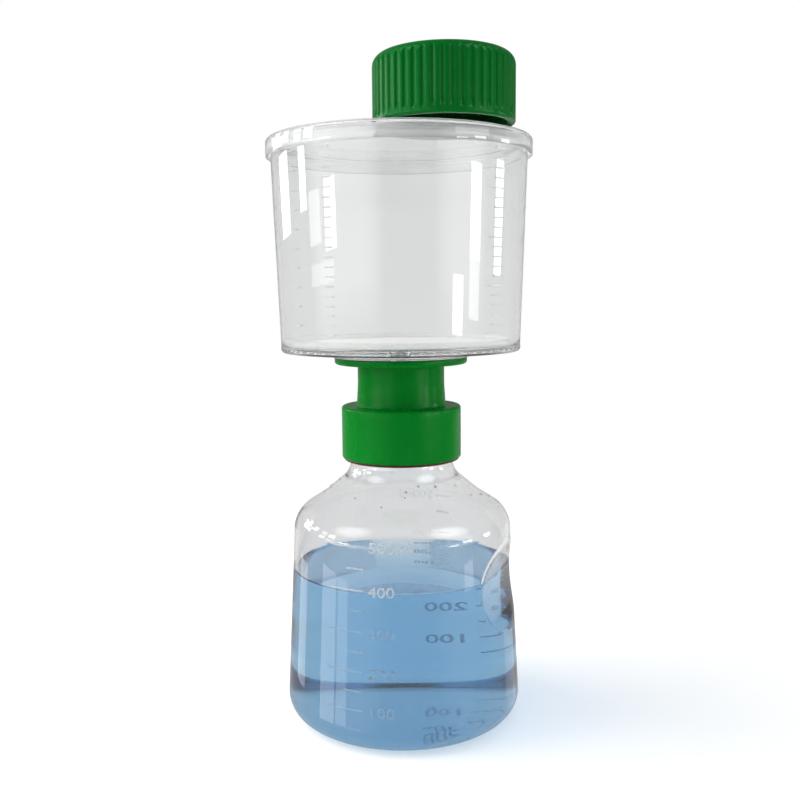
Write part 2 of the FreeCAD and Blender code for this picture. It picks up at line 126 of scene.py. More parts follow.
# %% A material in the making
class Recipe:
    """A material or world, and the one method that makes its nodes."""

    def __init__(self, owner):
        owner.use_nodes = True
        self.owner = owner
        self.tree = owner.node_tree
        self.tree.nodes.clear()
        self.place = None

    def node(self, kind, settings=None, sockets=None, out=0):
        made = self.tree.nodes.new(kind)
        for key, value in (settings or {}).items():
            setattr(made, key, value)
        for key, value in (sockets or {}).items():
            if isinstance(value, Wire):
                self.tree.links.new(value.socket, made.inputs[key])
            else:
                made.inputs[key].default_value = value
        return Wire(self, made.outputs[out]) if made.outputs else made

    def where(self):
        """Where a point lies, in metres, in the frame of the whole unit."""
        if self.place is None:
            self.place = self.node("ShaderNodeTexCoord", out="Object")
        return self.place

    def noise(self, scale, detail=2.0, roughness=0.5, stretch=None):
        """Cloudy noise. A stretch scales the place along each axis first."""
        place = self.where()
        if stretch is not None:
            place = self.node("ShaderNodeMapping", None, {"Vector": place, "Scale": stretch})
        sockets = {"Vector": place, "Scale": scale, "Detail": detail, "Roughness": roughness}
        return self.node("ShaderNodeTexNoise", None, sockets, "Fac")

    def blend(self, share, first, second):
        """A colour between two."""
        settings = {"data_type": "RGBA", "clamp_factor": True}
        return self.node("ShaderNodeMix", settings, {0: share, 6: first, 7: second}, 2)

    def spread(self, value, low, high, to_low, to_high):
        """A number carried from one span to another, and held at the ends."""
        sockets = {"Value": value, "From Min": low, "From Max": high}
        sockets.update({"To Min": to_low, "To Max": to_high})
        return self.node("ShaderNodeMapRange", {"clamp": True}, sockets)

    def bump(self, height, strength, distance, under=None):
        sockets = {"Height": height, "Strength": strength, "Distance": distance}
        if under is not None:
            sockets["Normal"] = under
        return self.node("ShaderNodeBump", None, sockets)

    def finish(self, surface, volume=None):
        sockets = {"Surface": surface}
        if volume is not None:
            sockets["Volume"] = volume
        self.node("ShaderNodeOutputMaterial", None, sockets)
        return self.owner


def recipe_for(name):
    return Recipe(bpy.data.materials.new(name))


def tone(red, green, blue):
    return (red, green, blue, 1.0)


print("finishes can be written")

# %% [markdown]
# ## Light and ground
#
# A clear thing is drawn by what it mirrors and bends, so the light is a white room: a pale
# floor, a white world behind it, and a few tall soft panels that stand like windows. Their
# long bright reflections say how the walls curve. Rays from the camera and through clear
# plastic meet a white world. Mirrored rays meet a darker room, with a soft glow on each side
# and a patch of sky above it, so that the walls keep some tone. The rest meet an even light.

# %% A white world
ROOM_LIGHT = 0.40
# from, to, and the brightness at each
ROOM_FOOT = (-0.30, 0.05, 0.35, 0.10)
ROOM_BACK = (0.35, 0.85, 0.0, 0.18)
# bearing, rise, brightness, outer and inner angle
LEFT_GLOW = (-50.0, 0.0, 2.3, 37.0, 20.0)
RIGHT_GLOW = (57.0, 0.0, 2.0, 27.0, 8.0)
LEFT_SKY = (-70.0, 45.0, 4.5, 20.0, 5.0)
RIGHT_SKY = (62.0, 43.0, 5.5, 22.0, 5.0)
# from, to, and the share of the glows at each
GLOW_TOP = (0.175, 0.195, 1.0, 0.0)
GLOW_FOOT = (-0.125, -0.05, 0.2, 1.0)


def seen_rays(recipe):
    """1 for rays that show the room itself: to the eye and through clear plastic."""
    path = recipe.node("ShaderNodeLightPath", None, None, "Is Camera Ray")
    return path.math("MAXIMUM", path, path.out("Is Transmission Ray"))


def soft_glow(recipe, way, bearing, rise, strength, outer, inner):
    """A broad patch of brighter room, full within the inner angle and gone by the outer."""
    angle, lift = math.radians(bearing), math.radians(rise)
    level = math.cos(lift)
    middle = (math.sin(angle) * level, -math.cos(angle) * level, math.sin(lift))
    settings = {"operation": "DOT_PRODUCT"}
    nearness = recipe.node("ShaderNodeVectorMath", settings, {0: way, 1: middle}, "Value")
    edge, full = math.cos(math.radians(outer)), math.cos(math.radians(inner))
    return recipe.spread(nearness, edge, full, 0.0, strength)


room = bpy.data.worlds.new("white_room")
bpy.context.scene.world = room
room_recipe = Recipe(room)
way = room_recipe.node("ShaderNodeTexCoord", out="Generated")
parts = room_recipe.node("ShaderNodeSeparateXYZ", None, {0: way})
mirrored = room_recipe.spread(parts.out("Z"), *ROOM_FOOT)
mirrored = mirrored + room_recipe.spread(parts.out("Y"), *ROOM_BACK)
glows = soft_glow(room_recipe, way, *LEFT_GLOW) + soft_glow(room_recipe, way, *RIGHT_GLOW)
glows = glows * room_recipe.spread(parts.out("Z"), *GLOW_TOP)
mirrored = mirrored + glows * room_recipe.spread(parts.out("Z"), *GLOW_FOOT)
mirrored = mirrored + soft_glow(room_recipe, way, *LEFT_SKY)
mirrored = mirrored + soft_glow(room_recipe, way, *RIGHT_SKY)
gloss = room_recipe.node("ShaderNodeLightPath", None, None, "Is Glossy Ray")
unseen = ROOM_LIGHT + (mirrored - ROOM_LIGHT) * gloss
seen = seen_rays(room_recipe)
room_light = seen + (1.0 - seen) * unseen
room_face = room_recipe.node(
    "ShaderNodeBackground", None, {"Color": tone(1.0, 1.0, 1.0), "Strength": room_light}
)
room_recipe.node("ShaderNodeOutputWorld", None, {"Surface": room_face})
print("the room lights at", ROOM_LIGHT, "and glows at", LEFT_GLOW, RIGHT_GLOW)

# %% A pale floor that keeps the unit's shadow
FLOOR_RADIUS = 4.0
FLOOR_GLOW = 0.30
FLOOR_THROUGH = 0.96
FLOOR_FADE = (0.12, 0.42)
FLOOR_DROP = 0.2

bench_recipe = recipe_for("pale_bench")
speckle = bench_recipe.noise(60.0, 3.0)
bench_tone = bench_recipe.blend(speckle, tone(0.79, 0.79, 0.79), tone(0.80, 0.80, 0.80))
bench_face = bench_recipe.node("ShaderNodeBsdfDiffuse", None, {"Color": bench_tone})
shown = seen_rays(bench_recipe)
bench_glow = bench_recipe.node("ShaderNodeEmission", None, {"Strength": shown * FLOOR_GLOW})
bench_sum = bench_recipe.node("ShaderNodeAddShader", None, {0: bench_face, 1: bench_glow})
length = bench_recipe.node(
    "ShaderNodeVectorMath", {"operation": "LENGTH"}, {0: bench_recipe.where()}, "Value"
)
fade = bench_recipe.spread(length, *FLOOR_FADE, 0.0, 1.0) * shown
through = bench_recipe.node("ShaderNodeLightPath", None, None, "Is Transmission Ray")
white_share = fade.math("MAXIMUM", fade, through * FLOOR_THROUGH)
bench_white = bench_recipe.node("ShaderNodeEmission", None, {"Strength": 1.0})
bench_mix = bench_recipe.node(
    "ShaderNodeMixShader", None, {0: white_share, 1: bench_sum, 2: bench_white}
)

bm = bmesh.new()
bmesh.ops.create_circle(bm, cap_ends=True, segments=64, radius=FLOOR_RADIUS)
bmesh.ops.translate(bm, verts=bm.verts, vec=(0.0, 0.0, -FLOOR_DROP * MM))
bench_mesh = bpy.data.meshes.new("bench_top")
bm.to_mesh(bench_mesh)
bm.free()
bench_mesh.materials.append(bench_recipe.finish(bench_mix))
bench = bpy.data.objects.new("bench_top", bench_mesh)
bench.visible_glossy = False
bpy.context.scene.collection.objects.link(bench)
print("the floor reaches", FLOOR_RADIUS, "m")

# %% Window panes, placed by bearing from the front
PANE_DISTANCE = 1.2


def lamp(name, width, height, light, place, aim, mirrored=True):
    """A soft lamp. Its light is how bright its face is, whatever its size."""
    made = bpy.data.lights.new(name, "AREA")
    made.shape = "RECTANGLE"
    made.size = width
    made.size_y = height
    made.energy = light * math.pi * width * height
    thing = bpy.data.objects.new(name, made)
    thing.visible_camera = False
    thing.visible_glossy = mirrored
    thing.visible_transmission = False
    way = Vector(aim) - Vector(place)
    turned_to = way.to_track_quat("-Z", "Y").to_matrix().to_4x4()
    thing.matrix_world = Matrix.Translation(place) @ turned_to
    bpy.context.scene.collection.objects.link(thing)


def around(bearing, distance, height):
    """A place by its bearing, which turns from the front towards the right."""
    angle = math.radians(bearing)
    return (math.sin(angle) * distance, -math.cos(angle) * distance, height)


# bearing, half its width in degrees, then panes: lowest, highest, light
WINDOWS = {
    "left_sash": (-62.0, 5.7, [(0.175, 0.287, 9.0), (-0.46, -0.18, 1.5)]),
    "left_sill": (-73.0, 13.0, [(0.125, 0.16, 1.8)]),
    "left_low": (-79.0, 9.0, [(-0.46, -0.18, 2.0)]),
    "left_blind": (-79.0, 6.5, [(0.19, 0.275, 3.0)]),
    "left_top_sash": (-79.5, 4.5, [(0.405, 0.46, 8.0), (0.46, 0.60, 10.0)]),
    "left_slot": (-92.0, 4.2, [(0.25, 0.36, 9.0), (0.405, 0.43, 5.0), (0.46, 0.60, 4.0)]),
    "left_top_slot": (-107.0, 3.5, [(0.41, 0.46, 8.0), (0.46, 0.60, 6.0)]),
    "left_back": (-121.0, 8.0, [(0.23, 0.36, 9.0), (-0.42, -0.21, 1.2)]),
    "left_back_top": (-120.0, 13.0, [(0.40, 0.44, 8.0)]),
    "left_back_high": (-122.0, 4.0, [(0.44, 0.60, 5.0)]),
    "right_low": (52.3, 5.0, [(0.035, 0.13, 9.0)]),
    "right_sash": (69.0, 5.5, [(0.16, 0.31, 9.0), (0.065, 0.16, 3.5), (-0.21, -0.16, 2.0)]),
    "right_top": (62.0, 16.0, [(0.40, 0.46, 1.8), (0.46, 0.62, 1.2)]),
    "right_slot": (97.0, 5.0, [(0.15, 0.33, 10.0)]),
    "right_back": (132.0, 13.0, [(-0.60, 0.02, 0.35)]),
}
for name, (bearing, half, panes) in WINDOWS.items():
    width = 2 * PANE_DISTANCE * math.tan(math.radians(half))
    for number, (low, high, light) in enumerate(panes):
        middle = (low + high) / 2
        place = around(bearing, PANE_DISTANCE, middle)
        lamp(f"{name}_{number}", width, high - low, light, place, (0.0, 0.0, middle))

# side in metres, light, then bearing, distance and height
SOFT_LAMPS = {
    "soft_key": (1.1, 4.2, (-90.0, 1.1, 0.9)),
    "soft_fill": (1.1, 0.8, (75.0, 1.1, 0.7)),
    "soft_overhead": (0.9, 1.0, (-30.0, 0.5, 1.3)),
}
LAMP_AIM = (0.0, 0.0, 0.1)
for name, (side, light, place) in SOFT_LAMPS.items():
    lamp(name, side, side, light, around(*place), LAMP_AIM, mirrored=False)
print(len(WINDOWS), "windows")

# %% [markdown]
# ## Tools for shapes
#
# Nearly everything here is turned: moulds for bottles, funnels and lids are cut on a lathe.
# So one helper draws half a section as a wire, rounds its corners, and spins it round an
# axis. A second helper takes the finished mesh, smooths it, and makes it an object.

# %% Rounded sections, spun into solids
FINE_TURN = 192


def rounding_run(before, corner, after, radius):
    """How far from a corner a rounding of that radius starts, along both sides."""
    one = (Vector(before) - Vector(corner)).normalized()
    two = (Vector(after) - Vector(corner)).normalized()
    return radius / math.tan(one.angle(two) / 2)


def section(corners):
    """A closed wire in the XZ plane. A corner is (radius, height), and may add (rounding, steps)."""
    bm = bmesh.new()
    flat = [Vector((c[0] * MM, 0.0, c[1] * MM)) for c in corners]
    points = [bm.verts.new(place) for place in flat]
    for pair in zip(points, points[1:] + points[:1]):
        bm.edges.new(pair)
    for i, corner in enumerate(corners):
        if len(corner) > 2:
            near, far = flat[i - 1], flat[(i + 1) % len(flat)]
            run = rounding_run(near, flat[i], far, corner[2] * MM)
            bmesh.ops.bevel(
                bm,
                geom=[points[i]],
                offset=run,
                affect="VERTICES",
                segments=corner[3],
                profile=0.5,
                material=-1,
            )
    return bm


def cut_runs(bm, longest):
    """Divides the wire's long straight runs, so that the mesh can be pressed later."""
    for edge in list(bm.edges):
        cuts = math.ceil(edge.calc_length() / (longest * MM)) - 1
        if cuts > 0:
            bmesh.ops.subdivide_edges(bm, edges=[edge], cuts=cuts)


def spin_full(bm, steps=FINE_TURN):
    """Spins the wire round the Z axis and closes the seam and the poles."""
    bmesh.ops.spin(
        bm,
        geom=bm.verts[:] + bm.edges[:],
        cent=(0.0, 0.0, 0.0),
        axis=(0.0, 0.0, 1.0),
        dvec=(0.0, 0.0, 0.0),
        angle=2 * math.pi,
        steps=steps,
        use_merge=True,
        use_duplicate=False,
    )
    bmesh.ops.remove_doubles(bm, verts=bm.verts, dist=0.002 * MM)
    bmesh.ops.recalc_face_normals(bm, faces=bm.faces)
    return bm


def turned(corners, steps=FINE_TURN, longest=2.0):
    """A turned solid. Short runs keep a rounding from bending the shine of a long wall."""
    wire = section(corners)
    cut_runs(wire, longest)
    return spin_full(wire, steps)


# %% A finished mesh becomes a piece
def piece(bm, name, body, material, stands_for=(), sharp=38.0):
    """Makes the piece, smooth except at edges sharper than the angle given."""
    mesh = bpy.data.meshes.new(name)
    bm.to_mesh(mesh)
    bm.free()
    mesh.polygons.foreach_set("use_smooth", [True] * len(mesh.polygons))
    mesh.set_sharp_from_angle(angle=math.radians(sharp))
    mesh.materials.append(material)
    thing = bpy.data.objects.new(name, mesh)
    bpy.context.scene.collection.objects.link(thing)
    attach(thing, body)
    if stands_for:
        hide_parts(*stands_for)
    low = [round(part / MM, 2) for part in thing.bound_box[0]]
    high = [round(part / MM, 2) for part in thing.bound_box[6]]
    print(f"{name}: {len(mesh.polygons)} faces, from {low} to {high} mm")


def joined(target, extra):
    """Adds a second bmesh to the first and frees it."""
    carrier = bpy.data.meshes.new("carrier")
    extra.to_mesh(carrier)
    extra.free()
    target.from_mesh(carrier)
    bpy.data.meshes.remove(carrier)


# %% [markdown]
# ## Clear plastic, liquid and their light
#
# The bottle, funnel and lid are hard clear plastic. Real glass-like light does the work: the
# shader bends rays at each face, and its faint grey is the colour that the walls add. Lamps
# must reach through it, so shadow rays meet a see-through shader instead. A long soft ripple
# and a few scuffs keep the walls from looking like computer glass.


# %% The clear finishes
def clear_finish(
    name,
    tint,
    ior,
    ripple,
    scuff,
    shade=(0.90, 0.91, 0.90),
    murk=None,
    dullest=0.012,
    clear=1.0,
    draw=1.0,
):
    recipe = recipe_for(name)
    sag = recipe.noise(34.0, 1.0, 0.5, (1.0, 1.0, draw))
    grain = recipe.noise(420.0, 2.0)
    relief = recipe.bump(sag, ripple, 2.0 * MM)
    relief = recipe.bump(grain, ripple * 0.4, 0.1 * MM, relief)
    smear = recipe.noise(95.0, 5.0, 0.62, (1.0, 1.0, 0.35))
    dull = recipe.spread(smear, 0.50, 0.78, dullest, scuff)
    faint = recipe.noise(26.0, 2.0)
    deep = tone(*(part * 0.97 for part in tint))
    body_tone = recipe.blend(faint, tone(*tint), deep)
    body = recipe.node(
        "ShaderNodeBsdfPrincipled",
        None,
        {
            "Base Color": body_tone,
            "Roughness": dull,
            "IOR": ior,
            "Transmission Weight": clear,
            "Normal": relief,
        },
    )
    gap = recipe.node("ShaderNodeBsdfTransparent", None, {"Color": tone(*shade)})
    to_lamp = recipe.node("ShaderNodeLightPath", None, None, "Is Shadow Ray")
    both = recipe.node("ShaderNodeMixShader", None, {0: to_lamp, 1: body, 2: gap})
    volume = None
    if murk is not None:
        settings = {"Color": tone(*murk[0]), "Density": murk[1]}
        volume = recipe.node("ShaderNodeVolumeAbsorption", None, settings)
    return recipe.finish(both, volume)


PLASTIC_IOR = 1.55
WATER_IOR = 1.333
THIN_SHADE = (0.95, 0.955, 0.95)
bottle_clear = clear_finish("bottle_clear", (0.89, 0.89, 0.885), PLASTIC_IOR, 0.06, 0.05)
funnel_clear = clear_finish(
    "funnel_clear",
    (0.86, 0.87, 0.865),
    PLASTIC_IOR,
    0.05,
    0.05,
    shade=THIN_SHADE,
    clear=0.97,
    draw=0.08,
)
lid_clear = clear_finish(
    "lid_clear",
    (0.96, 0.965, 0.97),
    PLASTIC_IOR,
    0.03,
    0.06,
    shade=THIN_SHADE,
    clear=0.84,
)
plate_clear = clear_finish(
    "plate_clear", (0.94, 0.945, 0.95), PLASTIC_IOR, 0.02, 0.08, shade=THIN_SHADE, clear=0.80
)
mark_clear = clear_finish("mark_clear", (0.97, 0.97, 0.97), PLASTIC_IOR, 0.01, 0.25)
# The whitish milky mark finish is a painted highlight for the light that raised clear marks catch.
mark_painted_highlight = clear_finish(
    "mark_painted_highlight", (0.82, 0.85, 0.90), PLASTIC_IOR, 0.01, 0.50, dullest=0.40, clear=0.66
)
blue_liquid = clear_finish(
    "blue_liquid", (1.0, 1.0, 1.0), WATER_IOR, 0.0, 0.012, (0.7, 0.85, 0.95), ((0.07, 0.59, 0.87), 20.0)
)
print("clear finishes ready")

# %% [markdown]
# ## The receiver bottle
#
# The bottle is blown or moulded clear plastic: a wall that leans in, a sloping shoulder, a
# short neck, a raised base, and a scoop on one side for the thumb. The wall is one section
# spun all round, outside and inside together, so that it has its true thickness. The scoop
# is then pressed in by moving points: a level cylinder says how far out the wall may stand,
# and a soft limit rounds the scoop's rim as a mould does.

# %% The bottle's sizes, in millimetres
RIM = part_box("receiver_bottle")[1].z / MM
NECK_ROOT = 20.9
NECK_BORE = 18.7
FOOT_WALL = 48.9
SHOULDER_WALL = 44.4
SHOULDER_HEIGHT = 86.0
BOTTLE_WALL = 1.3
BOTTLE_TURN = 256

GRIP_BEARING = math.radians(69.0)
GRIP_HEIGHT = 59.4
GRIP_RADIUS = 30.0
GRIP_DEPTH = 5.2
GRIP_SOFTNESS = 0.45
GRIP_HALF_HEIGHT = 25.0
GRIP_LEAST_RADIUS = 30.0


def wall_at(height):
    """The bottle's outer radius at a height on its leaning wall, in millimetres."""
    return FOOT_WALL - (FOOT_WALL - SHOULDER_WALL) * height / SHOULDER_HEIGHT


GRIP_AXIS = wall_at(GRIP_HEIGHT) - GRIP_DEPTH + GRIP_RADIUS


def soft_limit(value, limit, softness):
    """The smaller of two numbers, with a rounded change between them."""
    share = min(max(0.5 + 0.5 * (limit - value) / softness, 0.0), 1.0)
    return limit + (value - limit) * share - softness * share * (1.0 - share)


def scooped(place, inset=0.0):
    """Where a point of the wall lies once the thumb grip is pressed in."""
    radius = math.hypot(place.x, place.y) / MM
    rise = place.z / MM - GRIP_HEIGHT
    away = math.atan2(place.x, -place.y) - GRIP_BEARING
    if radius < GRIP_LEAST_RADIUS or abs(rise) > GRIP_HALF_HEIGHT or math.cos(away) < 0.5:
        return place
    reach = GRIP_RADIUS + inset
    limit = (GRIP_AXIS - math.sqrt(reach**2 - rise**2)) / math.cos(away)
    share = soft_limit(radius, limit, GRIP_SOFTNESS) / radius
    return Vector((place.x * share, place.y * share, place.z))


# %% Spin the bottle and press its grip
SHOULDER = [(44.43, 85.4), (32.5, 93.0), (NECK_ROOT, 102.7)]
DOME = [(11.0, 1.75), (20.0, 1.45), (28.0, 0.95), (34.0, 0.38), (37.0, 0.0)]
HEEL = 7.8
BASE_WALL = 1.5
DOME_TOP = 1.85
INSIDE_FOOT = 47.6
BOTTLE_RUN = 1.4
INSIDE = [
    (NECK_BORE, 102.85, 10.0, 8),
    (31.66, 92.0, 30.0, 4),
    (43.12, 84.7, 9.7, 9),
    (INSIDE_FOOT, BASE_WALL, HEEL, 9),
    *((radius, height + BASE_WALL) for radius, height in reversed(DOME)),
    (0.0, DOME_TOP + BASE_WALL),
]
bottle_wire = section(
    [
        (0.0, DOME_TOP),
        *DOME,
        (FOOT_WALL, 0.8, 9.4, 10),
        (*SHOULDER[0], 11.0, 10),
        (*SHOULDER[1], 30.0, 4),
        (*SHOULDER[2], 9.0, 8),
        (NECK_ROOT, RIM, 0.5, 3),
        (NECK_BORE, RIM, 0.5, 3),
    ]
    + INSIDE
)
cut_runs(bottle_wire, BOTTLE_RUN)
bottle = spin_full(bottle_wire, BOTTLE_TURN)
for vert in bottle.verts:
    radius = math.hypot(vert.co.x, vert.co.y) / MM
    inner = radius < wall_at(vert.co.z / MM) - BOTTLE_WALL / 2
    vert.co = scooped(vert.co, BOTTLE_WALL if inner else 0.0)
piece(
    bottle, "receiver_bottle_wall", "receiver", bottle_clear, ["receiver_bottle"]
)

# %% [markdown]
# ## Threads
#
# The neck carries a coarse thread of two and a half turns, and the collar and the cap carry
# its partners. A thread is one small section swept round the axis while it climbs by the
# pitch. Spin does that when it is given a step along the axis as well. The ends then sink
# into the wall over a short run, as a mould cuts them.

# %% A thread from one spun section
PITCH = 4.0
STEPS_PER_TURN = 72


def thread(root, crest, foot, turns, start=0.0, base_half=1.15, crest_half=0.5, sink=0.25):
    """A thread ridge from its root radius to its crest. The crest may lie inwards."""
    bm = bmesh.new()
    out = 1.0 if crest > root else -1.0
    inside = root - out * sink
    flat = [(inside, -base_half), (crest, -crest_half), (crest, crest_half), (inside, base_half)]
    points = [bm.verts.new((r * MM, 0.0, (foot + z) * MM)) for r, z in flat]
    edges = [bm.edges.new(pair) for pair in zip(points, points[1:] + points[:1])]
    steps = round(STEPS_PER_TURN * turns)
    bmesh.ops.spin(
        bm,
        geom=points + edges,
        cent=(0.0, 0.0, 0.0),
        axis=(0.0, 0.0, 1.0),
        dvec=(0.0, 0.0, PITCH * turns / steps * MM),
        angle=2 * math.pi * turns,
        steps=steps,
        use_merge=False,
        use_duplicate=False,
    )
    bmesh.ops.holes_fill(bm, edges=[e for e in bm.edges if e.is_boundary], sides=4)
    for vert in bm.verts:
        angle = math.atan2(vert.co.y, vert.co.x) / (2 * math.pi)
        climbed = (vert.co.z / MM - foot) / PITCH
        at = angle + round(climbed - angle)
        run = min(at, turns - at) * 2 * math.pi * abs(crest) / 6.0
        share = min(max(run, 0.02), 1.0)
        radius = math.hypot(vert.co.x, vert.co.y) / MM
        pressed = (inside + (radius - inside) * share) / radius
        vert.co.x *= pressed
        vert.co.y *= pressed
    bmesh.ops.rotate(bm, verts=bm.verts, cent=(0, 0, 0), matrix=Matrix.Rotation(start, 3, "Z"))
    bmesh.ops.recalc_face_normals(bm, faces=bm.faces)
    return bm


THREAD_RISE = 1.5
NECK_THREAD_FOOT = 110.2
neck_thread = thread(NECK_ROOT, NECK_ROOT + THREAD_RISE, NECK_THREAD_FOOT, 2.5)
piece(neck_thread, "neck_thread", "receiver", bottle_clear, sharp=50.0)

# %% [markdown]
# ## The liquid
#
# The liquid fills the bottle's foot and clings to the wall, so its rim climbs in a small
# curve. It is spun like the bottle. Its side lies just inside the plastic instead of just
# short of it: with the two sunk into each other a ray bends once at the plastic and once at
# the liquid, while a thin gap of air between them would mirror like silver.

# %% Spin the liquid with its curved rim
LIQUID_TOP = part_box("filtrate")[1].z / MM
SUNK = 0.15
liquid_wall = wall_at(LIQUID_TOP) - BOTTLE_WALL + SUNK
liquid_wire = section(
    [
        (0.0, DOME_TOP + BASE_WALL - SUNK),
        *((radius, height + BASE_WALL - SUNK) for radius, height in DOME),
        (INSIDE_FOOT + SUNK, BASE_WALL - SUNK, HEEL + 0.1, 9),
        (liquid_wall, LIQUID_TOP + 0.9),
        (liquid_wall - 0.3, LIQUID_TOP + 0.35, 0.4, 3),
        (liquid_wall - 1.8, LIQUID_TOP - 0.3, 1.5, 4),
        (liquid_wall - 6.0, LIQUID_TOP - 0.35),
        (0.0, LIQUID_TOP - 0.35),
    ]
)
cut_runs(liquid_wire, BOTTLE_RUN)
liquid = spin_full(liquid_wire, BOTTLE_TURN)
for vert in liquid.verts:
    vert.co = scooped(vert.co, BOTTLE_WALL - SUNK)
piece(liquid, "filtrate_body", "receiver", blue_liquid, ["filtrate"])

# %% [markdown]
# ## Measuring marks
#
# The marks are raised in the moulded wall: a long line at each hundred, a short one between,
# and a number beside it. Each is made flat first, then laid round the wall: across becomes a
# bearing, and depth becomes distance from the axis. A number starts as text that is made a
# The bottle has the same scale front and back. The front marks above the liquid and the back marks
# within it take a whitish milky finish, a painted highlight for the light that the raised clear marks
# catch.

# %% Lay flat marks round a wall
MARK_RISE = 0.28
MARK_SINK = 0.20


def laid_round(bm, bearing, height, wall, reach):
    """Bends a flat mark round the wall. Its middle goes to the bearing and height."""
    for vert in bm.verts:
        across, depth, up = vert.co.x / MM, vert.co.y / MM, vert.co.z / MM
        angle = math.radians(bearing) + across / reach
        radius = wall(height + up) - depth
        vert.co = Vector((math.sin(angle), -math.cos(angle), 0.0)) * radius * MM
        vert.co.z = (height + up) * MM


def line_mark(first, last, height, wall, reach, thick=0.55, rise=MARK_RISE):
    """A raised line between two bearings, with soft edges."""
    length = math.radians(last - first) * reach
    bm = bmesh.new()
    bmesh.ops.create_cube(bm, size=1.0)
    bmesh.ops.scale(bm, verts=bm.verts, vec=(length * MM, (rise + MARK_SINK) * MM, thick * MM))
    bmesh.ops.translate(bm, verts=bm.verts, vec=(0.0, (MARK_SINK - rise) / 2 * MM, 0.0))
    front = [e for e in bm.edges if all(v.co.y < 0 for v in e.verts)]
    bmesh.ops.bevel(
        bm, geom=front, offset=0.16 * MM, affect="EDGES", segments=2, profile=0.5, material=-1
    )
    steps = max(math.ceil(length / 1.2), 1)
    for i in range(1, steps):
        cut = (i / steps - 0.5) * length * MM
        bmesh.ops.bisect_plane(
            bm,
            geom=bm.verts[:] + bm.edges[:] + bm.faces[:],
            plane_co=(cut, 0.0, 0.0),
            plane_no=(1.0, 0.0, 0.0),
        )
    laid_round(bm, (first + last) / 2, height, wall, reach)
    return bm


def text_mark(words, first, height, wall, reach, size=5.6, narrow=1.23, rise=MARK_RISE):
    """Raised words that start at a bearing and stand centred on a height."""
    letters = bpy.data.curves.new("letters", "FONT")
    letters.body = words
    letters.size = size * MM
    letters.extrude = (rise + MARK_SINK) / 2 * MM
    letters.bevel_depth = 0.05 * MM
    letters.resolution_u = 3
    holder = bpy.data.objects.new("letters", letters)
    bpy.context.scene.collection.objects.link(holder)
    mesh = bpy.data.meshes.new_from_object(holder)
    bpy.data.objects.remove(holder)
    bm = bmesh.new()
    bm.from_mesh(mesh)
    bpy.data.meshes.remove(mesh)
    bmesh.ops.remove_doubles(bm, verts=bm.verts, dist=0.001 * MM)
    bmesh.ops.scale(bm, verts=bm.verts, vec=(narrow, 1.0, 1.0))
    bmesh.ops.rotate(
        bm, verts=bm.verts, cent=(0, 0, 0), matrix=Matrix.Rotation(math.pi / 2, 3, "X")
    )
    middle = size * 0.36
    bmesh.ops.translate(
        bm, verts=bm.verts, vec=(0.0, (MARK_SINK - rise) / 2 * MM, -middle * MM)
    )
    laid_round(bm, first, height, wall, reach)
    bmesh.ops.recalc_face_normals(bm, faces=bm.faces)
    return bm


# %% Where each hundred stands
TOP_MARK = 80.7
TOP_VOLUME = 500


def held_below(height, slices=60):
    """The volume in millilitres that the bottle holds below a height, less its raised base."""
    step = height / slices
    total = sum((wall_at((i + 0.5) * step) - BOTTLE_WALL) ** 2 for i in range(slices))
    return math.pi * total * step / 1000.0


def mark_height(volume):
    """Halves a span of heights until the bottle holds that volume below it."""
    low, high = 0.0, TOP_MARK + 1.0
    lost = held_below(TOP_MARK) - TOP_VOLUME
    for _ in range(30):
        middle = (low + high) / 2
        if held_below(middle) - lost < volume:
            low = middle
        else:
            high = middle
    return (low + high) / 2


print("marks stand at", [round(mark_height(v), 1) for v in range(100, 501, 100)], "mm")

# %% The bottle's two scales
REACH = 46.0
WORN_RISE = 0.05
BACK_RAISED = 1.8
bold_marks, faint_marks = bmesh.new(), bmesh.new()
for side, bold_span in ((0.0, (LIQUID_TOP, 200.0)), (180.0, (0.0, LIQUID_TOP))):
    for volume in range(50, TOP_VOLUME + 1, 50):
        height = mark_height(volume) + (BACK_RAISED if side else 0.0)
        # Marks in the bold band take the whitish painted highlight finish, and the rest stay clear.
        target = bold_marks if bold_span[0] < height < bold_span[1] else faint_marks
        rise = MARK_RISE
        if side:
            rise = WORN_RISE if height > LIQUID_TOP else MARK_RISE / 3
        where = (height, wall_at, REACH)
        inner = side - (21.5 if side else 19.0)
        outer = inner - (9.0 if side else 18.5 if volume % 100 == 0 else 11.0)
        if volume % 100:
            joined(target, line_mark(outer + 1.5, inner, *where, rise=rise))
            continue
        words = f"{volume}ml" if volume == TOP_VOLUME else f"{volume}"
        joined(target, line_mark(outer, inner, *where, rise=rise))
        joined(target, text_mark(words, inner + 2.2, *where, rise=rise))
piece(bold_marks, "bold_marks", "receiver", mark_painted_highlight, sharp=30.0)
piece(faint_marks, "faint_marks", "receiver", mark_clear, sharp=30.0)

# %% [markdown]
# ## Drops on the shoulder
#
# A few drops of condensate hang on the shoulder. Each is a small ball pressed flat against
# the slope. They sit partly in the plastic so that no air shows under them. Condensate falls
# where it likes, so a seeded scatter places them all round, the same way each time.

# %% Press small drops onto the shoulder
def shoulder_radius(height):
    """The shoulder's outer radius at a height, along its two straight slopes."""
    corner, middle, root = SHOULDER
    low, high = (corner, middle) if height < middle[1] else (middle, root)
    share = (height - low[1]) / (high[1] - low[1])
    return low[0] + (high[0] - low[0]) * share


